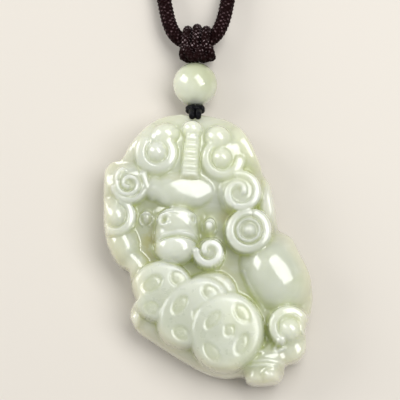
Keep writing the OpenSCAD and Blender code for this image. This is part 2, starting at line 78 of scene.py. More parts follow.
# Swelling forms: x, y, long half axis, short half axis, turn, foot, top, flatness,
# and for some how much lower the right side lies than the middle
MASSES = [
    (-9, 31.5, 40, 27, 0, 30, 71, 3.2),         # crown of the head
    (-14, 11, 13, 13, 0, 40, 66, 2.6),          # face under the brow
    (-11.8, 21.8, 14.8, 9, 0, 62, 79, 3.2, 5),  # forehead
    (-14.7, 5.4, 10.8, 14, 0, 50, 84, 4),       # nose and muzzle
    (-14.5, 11, 9.6, 6.6, 0, 66, 88, 3),        # nose
    (-15.1, 1.2, 10.4, 7.8, 0, 60, 91, 3),      # muzzle
    (-25.4, 22.6, 5, 6, 0, 60, 76, 2.6),        # left end of the forehead
    (0.9, 9, 2.7, 4, -8, 56, 71, 2),            # right eye socket
    (-29.1, 12, 2.4, 3.6, 0, 52, 61, 2),        # left eye socket
    (0.6, 9.2, 1.8, 2, 0, 76, 81, 2),           # right eyeball
    (-7.4, 44.6, 4.8, 4.4, 0, 72, 87, 2),       # ball on the horn
    (-20, 42.6, 6.8, 5.6, 10, 64, 83, 2),       # ball left of the horn
    (4.6, 41.4, 6.2, 6, 0, 67, 85, 2),          # ball right of the horn
    (-45.3, 23.5, 6.6, 12, 0, 30, 68, 2.2),     # left ear
    (28.4, 16, 6.6, 15, 4, 30, 74, 2.2),        # right ear
    (17, 37, 10, 13, 34, 40, 76, 2.6),          # right shoulder of the mane
    (-31.5, 39, 9, 13, -38, 40, 74, 2.6),       # left shoulder of the mane
    (-40.4, 2, 9.4, 12.4, 15, 26, 69, 2.4),     # left lobe under the curls
    (-34, -6, 8, 9, 30, 26, 63, 2.4),           # foot of that lobe
    (32.6, -8.4, 19.4, 16.2, -62, 36, 87, 2.4, 7),  # thigh
    (36, -4, 15, 12.6, -60, 20, 66, 2.4),       # rump behind the thigh
    (39.4, -36.4, 10, 10, 0, 30, 68, 2.6),      # bulge over the lower right edge
    (22.8, -46.2, 7, 6.6, 0, 30, 70, 2.4),      # left toe
    (29, -45.2, 5.6, 5.2, 0, 40, 77, 2),        # right toe
    (27, -40.6, 12, 8, 14, 36, 72, 3),          # back of the paw
    (-33.4, -24.6, 3.8, 7.8, -32, 26, 62, 2.2), # hind paw
    (18.6, -6.4, 3.6, 7.8, 12, 46, 66, 2.2),    # elbow beside the thigh
    (-24.1, 35.6, 11.4, 11.4, 0, 40, 76, 4),    # disc of the upper left curl
    (6.6, 33.8, 11.4, 11.6, 0, 40, 77, 4),      # disc of the upper right curl
    (-37.3, 24, 11, 11, 0, 34, 73, 4),          # disc of the middle left curl
    (15.2, 21, 11.2, 11.4, 0, 40, 79, 4),       # disc of the middle right curl
    (-43.6, 12.2, 10.4, 11.2, 0, 30, 70, 4),    # disc of the lower left curl
    (19.1, 7.2, 11.6, 12, 0, 40, 79, 4),        # disc of the lower right curl
    (1.4, 0, 6.8, 6.6, 0, 44, 80, 4),           # disc of the lip's swirl
    (37.6, -27.2, 10.8, 11, 0, 34, 76, 4),      # disc of the curl on the leg
    (19.6, 7.4, 3, 3, 0, 72, 87, 2),            # boss inside the lower right curl
    (-43.2, 12.8, 4.8, 5.6, 0, 58, 76, 2.2),    # heart of the lower left curl
    (-24, 36.2, 4.5, 4.5, 0, 73, 87, 2),        # balls inside the open curls
    (6.8, 33.8, 4.7, 4.7, 0, 73, 88, 2),
    (38.2, -28.2, 5.2, 5.2, 0, 71, 87, 2),
]

# Locks of hair that wind round a centre: x, y, from, sweep, outer radius at both ends,
# inner radius at both ends, foot, top
LOCKS = [
    (-24.1, 35.9, 140, 272, 10.8, 9.8, 5.2, 5.2, 73, 83),   # upper left curl
    (6.8, 33.9, 112, 238, 9.8, 11.4, 5.8, 6, 74, 84),       # upper right curl
    (-37.3, 24.2, 190, 206, 8.8, 10.4, 6.2, 6.4, 69, 79),   # middle left curl
    (-37.3, 24.2, 112, 62, 9, 6.6, 6.8, 4.2, 70, 79),
    (-37.3, 24.2, 170, 440, 6.6, 2.6, 4.2, 0.2, 70, 81),
    (15, 21.3, 100, -460, 11.2, 3.5, 7, 0.2, 75, 86),       # middle right curl
    (-43.9, 12.5, 66, -236, 10.4, 9, 5.8, 5.4, 66, 76),     # lower left curl
    (19.1, 7.4, 68, -340, 11.2, 10.8, 6.7, 6.5, 75, 86),    # lower right curl
    (19.1, 7.4, 70, -359, 6, 6, 4.4, 4.4, 76, 83),
    (0.7, -0.2, 180, 366, 8.3, 4, 4.2, 0.4, 74, 89),        # lip's swirl
    (37.6, -27.2, -12, 254, 10, 9.6, 5, 5.4, 71, 83),       # curl on the leg
]

# Coins, the hindmost first: x, y, long half axis, short half axis, turn, top
COINS = [
    (-21.4, -15.3, 15.4, 15.2, 0, 75.4),
    (-2, -19.8, 18, 13.9, 42, 71),
    (-6.5, -22.7, 19.8, 15.4, 42, 80),
    (8.6, -29.7, 19.3, 18.2, 82, 84.8),
]

# Sunken leaves of the coins: coin, across, up, long half axis, short half axis, turn, depth, roundness
LEAVES = [
    (0, -4.6, 3.4, 6.6, 4.4, 34, 2.2, 2), (0, 7.4, 5.6, 5.2, 4, 140, 2, 2),
    (0, -4.8, -8, 4.6, 3.8, -20, 1.6, 2),
    (2, -6.6, 3.2, 6.2, 3.6, 50, 2, 2), (2, 7.6, 8.8, 5.2, 4, -30, 2, 2),
    (2, -6, -10, 5, 4, -30, 2, 2), (2, 1.6, -1.4, 3.6, 3, 55, 1.8, 1.4),
    (3, -6.4, 5.2, 6.2, 3.2, 50, 1.6, 2), (3, 7.2, 8.4, 6.2, 4, -52, 2, 2),
    (3, -6.8, -9.8, 6.2, 3.8, -52, 2, 2), (3, 7, -6, 6.6, 3.4, 62, 1.8, 2),
    (3, 1.4, 0.2, 3.8, 3.6, 45, 2, 1.4),
]

# Small dents: x, y, long half axis, short half axis, turn, depth
DENTS = [
    (-6.6, 11.5, 2.3, 1.3, 84, 10),             # right nostril
    (-20.4, 11.1, 2.4, 1.5, 74, 10),            # left nostril
]

# Raised and cut lines along arcs: x, y, radius, from, to, half width, height
ARCS = [
    (61.4, 3.7, 47, 197, 221, 0.9, 5),          # crease beside the thigh
    (0.8, 9, 3.4, 20, 340, 0.7, 6),             # lids of the right eye
    (-29.1, 12, 3.2, -60, 240, 0.7, 5),         # lids of the left eye
    (-6.6, 11.5, 2.5, -130, 150, 0.8, 4),       # right nostril's rim
    (-20.4, 11.1, 2.7, 40, 320, 0.8, 4),        # left nostril's rim
    (-14.1, -9.8, 19.4, 64, 116, 0.9, -9),      # line between nose and muzzle
    (-14.1, -9.8, 21.3, 68, 112, 0.9, 3),       # upper lip
    (-13.6, 0.2, 18.2, 62, 120, 0.7, 5),        # brow, two lines
    (-13.6, 0.2, 20, 60, 122, 0.7, 4),
    (38.6, -27.8, 5.9, 30, 150, 0.5, 4),        # lines inside the curl on the leg
    (37.8, -27.8, 6.6, 60, 150, 0.5, 3),
    (25, -62, 27.6, 74, 110, 0.8, 4),           # lines round the paw
    (25, -62, 29.8, 70, 106, 0.8, 4),
    (29, -45.2, 4.6, 60, 160, 0.6, 3),          # line on the right toe
]

# Tufts of fur above the paw: x, y, long half axis, short half axis, turn, height
TUFTS = [
    (25.4, -31.2, 3.6, 1.5, -70, 9), (28.6, -33.4, 3.2, 1.4, 35, 8), (31.4, -34, 3.4, 1.4, 70, 8),
    (33.6, -35.4, 3.2, 1.3, 20, 7), (25, -35.6, 3, 1.2, 30, 6),
]

# The ribbed horn: its ends, half widths there, foot, top, how much lower its right side lies than its
# middle, height and number of its ribs, flatness
HORN = {
    "from": (-7.2, 41.9), "to": (-8.5, 26.2), "half": (3.5, 4.7), "foot": 60, "top": 83, "fall": 1.5,
    "rib": 3.8, "ribs": 6, "flat": 6,
}

# Milkier parts of the stone, some of them painted light that brightens shaded places: x, y, half width, half
# height, strength
CLOUDS = [
    (-5, 40, 30, 18, 1), (37.6, -29, 11, 10, 0.7), (-14.7, 5, 12, 12, 0.6), (8, 30, 14, 12, 0.6),
    (30, 18, 7, 12, 0.8), (34, -16, 12, 10, 0.5), (1.4, -1, 7, 8, 0.5),
]

# Yellower patches: stains of the stone, and painted shade in the crevice left of the muzzle (first row) and
# on the left lobe (last row): x, y, half width, half height, strength
STAINS = [
    (-27.6, 3.4, 4, 8.5, 1), (8, 13, 3.6, 3, 0.6), (9, -8, 5, 9, 0.35), (-12, 26.4, 9, 2, 0.35),
    (-42, 0, 9, 12, 0.15),
]

# Ground of the relief and the cap that rounds its front edge: heights, and widths of their roundings
RIM_TOP = 32
GROUND_TOP = 54
GROUND_ROUND = 7
CAP_TOP = 94.2
CAP_ROUND = 10

# Fillets between the forms, and passes that soften the whole relief
BLEND = 9
LOCK_BLEND = 2.5
COIN_BLEND = 1.5
CAP_BLEND = 6.4
SOFTENING = 3

# Locks: flatness, how far they fall off ten hundredths from their centre, and how late they narrow
LOCK_ROUND = 5
LOCK_CROWN = 4.5
LOCK_EASE = 1.5

# Coins: foot, crown of the face, sharpness of the edge
COIN_FOOT = 40
COIN_CROWN = 3
COIN_EDGE = 17

# Leaves: share of the depth in their table, share of it by which their middle rises again,
# and as shares of their half axes the width of their slopes and the start of that rise
LEAF_DEPTH = 0.75
LEAF_ISLAND = 0.4
LEAF_SLOPE = 0.32
LEAF_MIDDLE = 0.66

# The tables give places as the camera sees them: a high form lies lower than it looks by this share
# of its height. Lines, dents and spots are taken to lie at one height
SLANT = 1 / math.tan(math.radians(CAMERA_ELEVATION))
LINE_HEIGHT = 80

# Passes that give the stone's mean surface, near by and broadly, and depths under it at which the painted
# green shading of the recesses is full
NEAR_PASSES = 40
BROAD_PASSES = 500
NEAR_HOLLOW = 2.3 * MM
BROAD_HOLLOW = 2.4 * MM

# Width of the pale rim, where painted shading fades out and the painted edge glow lies, share of both that a
# milky part hides, and painted shading of the leaves' wells
PALE_RIM = 4 * MM
CLOUD_FADE = 0.7
LEAF_GREEN = 0.15

# Milk in the middle of a coin, the painted light that makes it milkier towards the coin's upper right, and
# passes that blur it
COIN_MILK = 0.12
COIN_MILK_GAIN = 0.65
COIN_PASSES = 4

# Satin of the coins: how much rougher and less coated they are, and how much of that their leaves lose
SATIN_ROUGHNESS = 0.13
SATIN_COAT = 0.6
LEAF_POLISH = 0.5

# Colours of the painted warm glow at thin edges and of stains and painted shade of the stone, and of the
# braid's gaps and its tinted sheen
WARM_COLOUR = (0.60, 0.58, 0.42, 1)
STAIN_COLOUR = (0.41, 0.40, 0.15, 1)
PLUM_DARK = (0.006, 0.002, 0.002)
PLUM_TINT = (1, 0.5, 0.5)

# Wall and back of the carving: inset from the outline, height, as the solid has them
WALL = [(0, 3.1), (0, 2.2), (0, 1.6), (0.16, 0.95), (0.36, 0.48), (0.72, 0.16), (1.2, 0), (2.0, 0)]

# Braids: rings and sides for each yarn, dip of a yarn at its ends and mean height
RINGS_PER_CELL = 8
BRAID_DIP = 0.5
BRAID_MEAN = 0.55

# Neck cord: diameter, number, length and depth of its yarns, and how far from the knot they are real
CORD_D = 2.8 * MM
CORD_YARNS = 7
CORD_CELL = 0.8 * MM
CORD_DEPTH = 0.3 * MM
CORD_FINE = 17 * MM

# Its route from the knot's axis: across and up in millimetres, and its height from where it lies, 0,
# to the knot, 1
CORD_LOW = 1.45 * MM
KNOT_Z = 3.5 * MM
ROUTE = [
    (0, 0, 1), (1.6, 0.26, 1), (3, 1, 1), (4.1, 2.1, 0.97), (4.9, 3.7, 0.9), (5.5, 5.6, 0.78),
    (5.9, 7.6, 0.66), (6.6, 11, 0.45), (8, 16, 0.2), (11, 22, 0.04), (17, 32, 0), (28, 47, 0), (43, 64, 0),
    (60, 84, 0), (76, 109, 0), (87, 138, 0), (90, 170, 0), (82, 201, 0), (63, 226, 0), (35, 240, 0),
    (2, 245, 0),
    (-31, 240, 0), (-60, 224, 0), (-80, 199, 0), (-89, 169, 0), (-86, 137, 0), (-75, 108, 0), (-59, 83, 0),
    (-43, 63, 0), (-29, 47, 0), (-18, 32, 0), (-12, 22, 0.04), (-8.2, 16, 0.2), (-6.4, 11, 0.45),
    (-5.6, 7.4, 0.66), (-5.2, 5.4, 0.78), (-4.7, 3.6, 0.9), (-4, 2.1, 0.97), (-3, 1, 1), (-1.6, 0.26, 1),
]

# Places on the string, from the solids
bead_low, bead_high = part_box("bead")
base_low, base_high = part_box("base_knot")
BEAD_CENTRE = (Vector(bead_low) + Vector(bead_high)) / 2
BEAD_R = (bead_high[0] - bead_low[0]) / 2
BEAD_TOP = bead_high[1]
HANG_X = BEAD_CENTRE.x

# Bead: radius of its bore, rounding at the bore's mouths, steps from mouth to mouth, strength and side
# of the painted shading that makes it greener towards its upper right
BEAD_BORE = 0.78 * MM
BEAD_RIM = 0.25 * MM
BEAD_STEPS = 48
BEAD_GREEN = 0.8
BEAD_GREEN_TOWARDS = (0.7, 0.9)

# Strand of the top knot: diameter, number, length and depth of its yarns
STRAND_D = 1.75 * MM
STRAND_YARNS = 5
STRAND_CELL = 0.7 * MM
STRAND_DEPTH = 0.22 * MM

# Its turns round the neck cord: number, radius, how much wider the middle one is, pitch, steps for a turn
COIL_TURNS = 3
COIL_R = 2.5 * MM
COIL_SWELL = 0.4 * MM
COIL_PITCH = 1.73 * MM
COIL_STEPS = 16
KNOT_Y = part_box("top_knot")[1][1] - COIL_R - STRAND_D / 2

# Bights and stub under the turns, from the middle of the bead's top, in millimetres
SIDE_BIGHT_D = 1.9 * MM
STUB_D = 1.5 * MM
BIGHT = [
    (-1.6, 3, 1.2), (-1.4, 1.9, 1.9), (-0.95, 0.95, 2.2), (-0.3, 0.5, 2.2), (0.3, 0.75, 2.3),
    (0.75, 1.6, 2.1), (0.9, 2.8, 1.4),
]
STUB = [(0.9, 2.2, 1.1), (1.2, 1.2, 1.6), (1.35, 0.55, 1.6), (1.6, 1, 1)]
LEFT_BIGHT = [
    (-0.5, 2.9, 1.2), (-1.4, 2.7, 1.4), (-2, 2.1, 1.3), (-2.1, 1.4, 1), (-1.6, 0.9, 0.8), (-0.8, 0.8, 0.3),
]
RIGHT_BIGHT = [
    (1.2, 2.9, 1.2), (2, 2.7, 1.4), (2.6, 2.1, 1.3), (2.7, 1.4, 1), (2.1, 0.9, 0.8), (1.2, 0.8, 0.3),
]

# Base knot: number and length of its thread's yarns
THREAD_YARNS = 3
THREAD_CELL = 0.5 * MM

# Its turns: name, place along the string, radius, tilt, thickness, depth of the yarns
TURNS = [
    ("turn_left", base_high[1] - 0.66 * MM, 1.26 * MM, 9, 1.12 * MM, 0.07 * MM),
    ("turn_right", base_high[1] - 0.66 * MM, 1.26 * MM, -9, 1.12 * MM, 0.07 * MM),
    ("turn_low", base_low[1] + 0.5 * MM, 0.78 * MM, 4, 0.92 * MM, 0.06 * MM),
]

# One of its two tails: thickness, depth of the yarns, route from the middle of the knot's foot
TAIL_D = 1.15 * MM
TAIL_DEPTH = 0.06 * MM
TAIL = [
    (0.5, 0.9, 0.9), (0.6, 0.55, 1.7), (0.62, 0.1, 2.6), (0.6, -0.3, 3.3), (0.56, -0.7, 3.45),
    (0.5, -0.95, 2.8),
]

# Floor and lights: half the floor's side, its colour, where the softboxes aim, strength of the world
FLOOR_HALF = 1.5
FLOOR_COLOUR = (0.64, 0.60, 0.54, 1)
LIGHT_TARGET = (0, 8 * MM, 5 * MM)
WORLD_STRENGTH = 0.48


def aim(location, target):
    """Rotation that looks from one place at another with the image's top towards +Y."""
    return (Vector(target) - Vector(location)).to_track_quat("-Z", "Y").to_euler()


def make_camera():
    data = bpy.data.cameras.new("camera")
    data.lens = LENS
    data.sensor_width = SENSOR
    data.clip_start = 0.01
    distance = FRAME_WIDTH * LENS / SENSOR
    tilt = math.radians(CAMERA_ELEVATION)
    camera = bpy.data.objects.new("camera", data)
    target = Vector(CAMERA_TARGET)
    camera.location = target + distance * Vector((0, -math.cos(tilt), math.sin(tilt)))
    camera.rotation_euler = aim(camera.location, target)
    bpy.context.scene.collection.objects.link(camera)
    bpy.context.scene.camera = camera


# Meshes


def add_object(bm, name, material):
    """Puts a bmesh in the scene as one smooth piece, for the callers to attach to the part."""
    mesh = bpy.data.meshes.new(name)
    bm.to_mesh(mesh)
    bm.free()
    mesh.materials.append(material)
    mesh.polygons.foreach_set("use_smooth", [True] * len(mesh.polygons))
    piece = bpy.data.objects.new(name, mesh)
    bpy.context.scene.collection.objects.link(piece)
    return piece


def curve_at(p, t):
    """Point on a smooth curve through four points in a row, given as arrays."""
    return 0.5 * (2 * p[1] + (p[2] - p[0]) * t + (2 * p[0] - 5 * p[1] + 4 * p[2] - p[3]) * t ** 2
                  + (3 * p[1] - p[0] - 3 * p[2] + p[3]) * t ** 3)


def smooth_loop(points, count, closed=True):
    """Points at even steps along the smooth curve through the given ones, and the curve's length."""
    points = np.asarray(points, float)
    if closed:
        ring = np.vstack([points[-1], points, points[:2]])
    else:
        ring = np.vstack([2 * points[0] - points[1], points, 2 * points[-1] - points[-2]])
    t = np.arange(CURVE_STEPS)[:, None] / CURVE_STEPS
    fine = np.vstack([curve_at(ring[i:i + 4], t) for i in range(len(ring) - 3)] + [ring[-2][None]])
    along = np.concatenate([[0], np.cumsum(np.linalg.norm(np.diff(fine, axis=0), axis=1))])
    at = np.linspace(0, along[-1], count + 1 if closed else count)
    if closed:
        at = at[:-1]
    return np.column_stack([np.interp(at, along, fine[:, k]) for k in range(fine.shape[1])]), along[-1]


# Relief of the carving, worked out for arrays of places in metres


def smooth_max(a, b, k):
    gap = np.maximum(0, k - np.abs(a - b))
    return np.maximum(a, b) + gap * gap / (4 * k)


def smooth_step(t):
    return t * t * (3 - 2 * t)


def swell(q, flat):
    return np.sqrt(np.maximum(0, 1 - q ** flat))


def bowl(q):
    return np.sqrt(np.maximum(0, 1 - (1 - np.minimum(q, 1)) ** 2))


def offset_from(x, y, cx, cy, height=LINE_HEIGHT):
    """Place from the centre of a form at this height, in hundredths of the width both ways."""
    drop = (height * THICK - CAMERA_TARGET[2]) * SLANT
    return x / WIDE - cx, (y + drop - cy * TALL) / WIDE


def turned(dx, dy, angle):
    c, s = math.cos(math.radians(angle)), math.sin(math.radians(angle))
    return dx * c + dy * s, dy * c - dx * s


def pile(z, height, inside, k):
    """Adds a form to the relief with a fillet where the two meet."""
    return np.where(inside, smooth_max(z, height, k), z)


def add_mass(z, x, y, row):
    cx, cy, a, b, turn, foot, top, flat, fall = (*row, 0)[:9]
    dx, dy = offset_from(x, y, cx, cy, (foot + top) / 2)
    u, v = turned(dx, dy, turn)
    r = np.hypot(u / a, v / b)
    return pile(z, foot + (top - fall * dx / a - foot) * swell(r, flat), r < 1, BLEND)


def add_horn(z, x, y):
    dx, dy = offset_from(x, y, *HORN["from"], (HORN["foot"] + HORN["top"]) / 2)
    ax = HORN["to"][0] - HORN["from"][0]
    ay = (HORN["to"][1] - HORN["from"][1]) * TALL / WIDE
    length = math.hypot(ax, ay)
    along = (dx * ax + dy * ay) / length ** 2
    half = HORN["half"][0] + (HORN["half"][1] - HORN["half"][0]) * along
    q = np.abs(dy * ax - dx * ay) / length / half
    ribs = np.abs(np.sin(math.pi * along * HORN["ribs"])) - 0.5
    top = HORN["top"] - HORN["fall"] * dx / half + HORN["rib"] * ribs
    height = HORN["foot"] + (top - HORN["foot"]) * swell(q, HORN["flat"])
    return pile(z, height, (q < 1) & (along > 0) & (along < 1), BLEND)


def lock_share(dx, dy, row):
    """Share of a lock's half width that a place is away from its middle line."""
    start, sweep, outer_from, outer_to, inner_from, inner_to = row[2:8]
    r = np.hypot(dx, dy)
    first = ((np.degrees(np.arctan2(dy, dx)) - start) * math.copysign(1, sweep)) % 360
    best = np.full_like(r, 9.0)
    for lap in range(abs(sweep) // 360 + 1):
        t = (first + 360 * lap) / abs(sweep)
        ease = np.minimum(t, 1) ** LOCK_EASE
        outer = outer_from + (outer_to - outer_from) * ease
        inner = inner_from + (inner_to - inner_from) * ease
        best = np.where(t <= 1, np.minimum(best, np.abs(2 * r - outer - inner) / (outer - inner)), best)
    for turn, outer, inner in ((start, outer_from, inner_from), (start + sweep, outer_to, inner_to)):
        angle, middle = math.radians(turn), (outer + inner) / 2
        end = np.hypot(dx - middle * math.cos(angle), dy - middle * math.sin(angle))
        best = np.minimum(best, 2 * end / (outer - inner))
    return best


def add_lock(z, x, y, row):
    foot, top = row[8:]
    dx, dy = offset_from(x, y, row[0], row[1], (foot + top) / 2)
    q = lock_share(dx, dy, row)
    crown = LOCK_CROWN * (dx * dx + dy * dy) / 100
    return pile(z, foot + (top - foot) * swell(q, LOCK_ROUND) - crown, q < 1, LOCK_BLEND)


def add_coin(z, x, y, number):
    """The relief with a coin, and where the coin lies, how milky it is with painted light towards its upper
    right, and where its leaves are.
    """
    cx, cy, a, b, turn, top = COINS[number]
    dx, dy = offset_from(x, y, cx, cy, (COIN_FOOT + top) / 2)
    u, v = turned(dx, dy, turn)
    r = np.hypot(u / a, v / b)
    height = top - COIN_CROWN * r * r - (top - COIN_FOOT) * (1 - swell(r, COIN_EDGE))
    leaf = np.zeros_like(r)
    for coin, across, up, la, lb, lturn, depth, roundness in LEAVES:
        if coin == number:
            lu, lv = turned(dx - across, dy - up, lturn)
            q = ((np.abs(lu) / la) ** roundness + (np.abs(lv) / lb) ** roundness) ** (1 / roundness)
            well = np.clip((1 - q) / LEAF_SLOPE, 0, 1)
            island = np.clip((LEAF_MIDDLE - q) / LEAF_SLOPE, 0, 1)
            height = height - LEAF_DEPTH * depth * (smooth_step(well) - LEAF_ISLAND * smooth_step(island))
            leaf = np.maximum(leaf, well)
    # Painted light: the coin grows milkier towards its upper right, where the key light falls
    milk = np.clip(COIN_MILK + COIN_MILK_GAIN * (0.4 * dx + 0.9 * dy) / a, 0, 1) * (1 - leaf)
    return pile(z, height, r < 1, COIN_BLEND), r < 1, milk, leaf


def add_arc(z, x, y, row):
    cx, cy, radius, start, end, half, height = row
    dx, dy = offset_from(x, y, cx, cy)
    turn = (np.degrees(np.arctan2(dy, dx)) - start) % 360
    span = end - start
    near = np.radians(start + np.where(turn < span, turn, np.where(turn - span < 360 - turn, span, 0.0)))
    q = np.hypot(dx - radius * np.cos(near), dy - radius * np.sin(near)) / half
    return z + height * np.maximum(0, 1 - q * q) ** 2


def add_oval(z, x, y, row, sign):
    """Adds a small raised leaf, or with a negative sign a dent."""
    cx, cy, a, b, turn, height = row
    u, v = turned(*offset_from(x, y, cx, cy), turn)
    q = np.minimum(1, np.hypot(u / a, v / b))
    return z + sign * height * (1 - q * q) ** 1.3


def relief(x, y, edge):
    """Height of the carved face in metres, and where coins lie, how milky they are with their painted light,
    and where leaves are.
    """
    z = RIM_TOP + (GROUND_TOP - RIM_TOP) * bowl(edge / (GROUND_ROUND * WIDE))
    for row in MASSES:
        z = add_mass(z, x, y, row)
    z = add_horn(z, x, y)
    for row in LOCKS:
        z = add_lock(z, x, y, row)
    for row in ARCS:
        z = add_arc(z, x, y, row)
    for row in TUFTS:
        z = add_oval(z, x, y, row, 1)
    for row in DENTS:
        z = add_oval(z, x, y, row, -1)
    on_coin = np.zeros_like(z)
    coin_milk = np.zeros_like(z)
    on_leaf = np.zeros_like(z)
    for number in range(len(COINS)):
        z, inside, milk, leaf = add_coin(z, x, y, number)
        on_coin = np.where(inside, 1.0, on_coin)
        coin_milk = np.where(inside, milk, coin_milk)
        on_leaf = np.where(inside, leaf, on_leaf)
    cap = RIM_TOP + (CAP_TOP - RIM_TOP) * bowl(edge / (CAP_ROUND * WIDE))
    return -smooth_max(-z, -cap, CAP_BLEND) * THICK, on_coin, coin_milk, on_leaf


def rim_lookup(share, loop):
    """Point of the outline at a share of its length."""
    at = (share % 1) * len(loop)
    i = np.floor(at).astype(int) % len(loop)
    rest = (at - np.floor(at))[:, None]
    return loop[i] * (1 - rest) + loop[(i + 1) % len(loop)] * rest


def ring_share(u, v):
    """Place along the outline, as a share of it, that a place on the square grid belongs to."""
    t = np.maximum(np.maximum(np.abs(u), np.abs(v)), 1e-9)
    return np.where(v >= t - 1e-9, u / t / 8,
                    np.where(u >= t - 1e-9, 1 / 4 - v / t / 8,
                             np.where(v <= -t + 1e-9, 1 / 2 - u / t / 8, 3 / 4 + v / t / 8)))


def blurred(grid, passes):
    """A square array smoothed by averaging each value with its neighbours."""
    for _ in range(passes):
        wide = np.pad(grid, 1, mode="edge")
        grid = (wide[2:, 1:-1] + wide[:-2, 1:-1] + wide[1:-1, 2:] + wide[1:-1, :-2] + 2 * grid) / 6
    return grid


def spots(x, y, table):
    """Strength at each place of the soft round spots in a table."""
    strongest = np.zeros_like(x)
    for cx, cy, a, b, strength in table:
        dx, dy = offset_from(x, y, cx, cy)
        strongest = np.maximum(strongest, strength * np.exp(-(dx / a) ** 2 - (dy / b) ** 2))
    return strongest


def make_carving(material):
    """The carved stone: a square grid laid over its outline and raised, with a wall and a flat back."""
    bm = bmesh.new()
    bmesh.ops.create_grid(bm, x_segments=CELLS, y_segments=CELLS, size=1.0)
    ring = [e for e in bm.edges if e.is_boundary]
    for _ in WALL:
        made = bmesh.ops.extrude_edge_only(bm, edges=ring)["geom"]
        bmesh.ops.translate(bm, verts=[v for v in made if isinstance(v, bmesh.types.BMVert)], vec=(0, 0, -1))
        ring = [e for e in made if isinstance(e, bmesh.types.BMEdge) and e.is_boundary]
    bmesh.ops.contextual_create(bm, geom=ring)
    piece = add_object(bm, "carved_jade", material)
    mesh = piece.data

    # Place on the square grid, and number of the wall's row, 0 on the face
    flat = np.empty(len(mesh.vertices) * 3)
    mesh.vertices.foreach_get("co", flat)
    u, v, level = flat.reshape(-1, 3).T
    level = np.round(-level).astype(int)
    loop, _ = smooth_loop([(x * WIDE, y * TALL) for x, y in RIM], 4 * CELLS)
    rim = rim_lookup(ring_share(u, v), loop)
    t = np.maximum(np.abs(u), np.abs(v))
    place = rim * t[:, None]
    edge = np.linalg.norm(rim, axis=1) * (1 - t)
    z, on_coin, coin_milk, on_leaf = relief(place[:, 0], place[:, 1], edge)
    # The face's heights as a square array, softened inside its edge
    face = level == 0
    rows = np.flatnonzero(face)[np.lexsort((v[face], u[face]))]
    heights = z[rows].reshape(CELLS + 1, CELLS + 1)
    heights[1:-1, 1:-1] = blurred(heights, SOFTENING)[1:-1, 1:-1]
    z[rows] = heights.ravel()
    for k, (inset, height) in enumerate(WALL, 1):
        here = level == k
        place[here] = rim[here] * (1 - inset * MM / np.linalg.norm(rim[here], axis=1))[:, None]
        z[here] = height * MM
    mesh.vertices.foreach_set("co", np.column_stack([place, z]).ravel())
    mark_stone(mesh, rows, place, edge, heights, on_coin, coin_milk, on_leaf)
    mesh.update()
    turn_outwards(mesh)
    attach(piece, "root")
    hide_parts("carving")


def mark_stone(mesh, rows, place, edge, heights, on_coin, coin_milk, on_leaf):
    """Leaves on the mesh the painted shading of its hollows, its stains and painted shade, its milk and
    painted light, its satin and its painted edge glow, for its material.
    """
    near = (blurred(heights, NEAR_PASSES) - heights) / NEAR_HOLLOW
    broad = (blurred(heights, BROAD_PASSES) - heights) / BROAD_HOLLOW
    sunk = (near + broad).ravel()
    inland = smooth_step(np.clip(edge[rows] / PALE_RIM, 0, 1))
    coins, coin_milk = (blurred(values[rows].reshape(CELLS + 1, CELLS + 1), COIN_PASSES).ravel()
                        for values in (on_coin, coin_milk))
    stain, cloud = (spots(place[rows, 0], place[rows, 1], table) for table in (STAINS, CLOUDS))
    # Painted shading: recesses and the leaves' wells take the greener Deep colour, standing in for how light
    # falls in them
    green = np.clip(sunk, 0, 1) * inland * (1 - CLOUD_FADE * cloud) + LEAF_GREEN * on_leaf[rows]
    # Painted light: raised parts turn milky, as do the clouds, some of which are painted light too; coins add
    # their own milk
    milk = np.maximum(np.clip(-sunk, 0, 1), cloud) * (1 - coins) + coin_milk
    satin = coins * (1 - LEAF_POLISH * on_leaf[rows])
    # Painted light: a warm glow painted along the outline, standing in for light reflected at and through the
    # thin edge
    thin = (1 - inland) * (1 - CLOUD_FADE * cloud)
    for name, values, elsewhere in (("hollow", green, 0), ("stain", stain, 0), ("milk", milk, 0),
                                    ("satin", satin, 0), ("thin", thin, 1)):
        strength = np.full(len(mesh.vertices), float(elsewhere))
        strength[rows] = values
        mesh.attributes.new(name, "FLOAT", "POINT").data.foreach_set("value", strength)


def turn_outwards(mesh):
    bm = bmesh.new()
    bm.from_mesh(mesh)
    bmesh.ops.recalc_face_normals(bm, faces=bm.faces[:])
    bm.to_mesh(mesh)
    bm.free()


